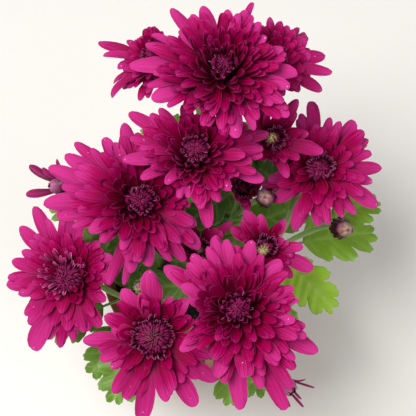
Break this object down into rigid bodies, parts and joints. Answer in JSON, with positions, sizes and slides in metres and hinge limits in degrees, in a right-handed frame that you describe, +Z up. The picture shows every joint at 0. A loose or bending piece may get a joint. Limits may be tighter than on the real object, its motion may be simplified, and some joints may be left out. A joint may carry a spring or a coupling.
{
  "type": "potted chrysanthemum",
  "caption": "Chrysanthemum in flower with double magenta heads, buds and lobed leaves on branched stems, rooted in potting mix in a plain tapered round pot.",
  "frame": {"origin": "centre of the pot's flat bottom, on the surface it stands on", "axes": "+Z up along the pot's axis, -Y towards the usual viewer, +X to the viewer's right"},
  "size_m": [0.2197, 0.2129, 0.2846],
  "materials": {
    "pot": "satin",
    "potting_mix": "matte",
    "stem": "satin",
    "leaf": "satin",
    "ray_floret": "satin",
    "young_floret": "matte",
    "bud": "matte"
  },
  "bodies": {
    "root": {"bud_2d": "bud", "bud_3c": "bud", "bud_4c": "bud", "bud_5c": "bud", "bud_6b": "bud", "flower_1a_eye": "young_floret", "flower_1a_rays": "ray_floret", "flower_1b_eye": "young_floret", "flower_1b_rays": "ray_floret", "flower_1c_eye": "young_floret", "flower_1c_rays": "ray_floret", "flower_2a_eye": "young_floret", "flower_2a_rays": "ray_floret", "flower_2b_eye": "young_floret", "flower_2b_rays": "ray_floret", "flower_2c_eye": "young_floret", "flower_2c_rays": "ray_floret", "flower_3a_eye": "young_floret", "flower_3a_rays": "ray_floret", "flower_3b_eye": "young_floret", "flower_3b_rays": "ray_floret", "flower_4a_eye": "young_floret", "flower_4a_rays": "ray_floret", "flower_4b_eye": "young_floret", "flower_4b_rays": "ray_floret", "flower_5a_eye": "young_floret", "flower_5a_rays": "ray_floret", "flower_5b_eye": "young_floret", "flower_5b_rays": "ray_floret", "flower_6a_eye": "young_floret", "flower_6a_rays": "ray_floret", "leaf_01": "leaf", "leaf_02": "leaf", "leaf_03": "leaf", "leaf_04": "leaf", "leaf_05": "leaf", "leaf_06": "leaf", "leaf_07": "leaf", "leaf_08": "leaf", "leaf_09": "leaf", "leaf_10": "leaf", "leaf_11": "leaf", "leaf_12": "leaf", "leaf_13": "leaf", "leaf_14": "leaf", "leaf_15": "leaf", "leaf_16": "leaf", "leaf_17": "leaf", "leaf_18": "leaf", "leaf_19": "leaf", "leaf_20": "leaf", "leaf_21": "leaf", "pot": "pot", "potting_mix": "potting_mix", "stem_1": "stem", "stem_2": "stem", "stem_3": "stem", "stem_4": "stem", "stem_5": "stem", "stem_6": "stem"}
  },
  "joints": []
}
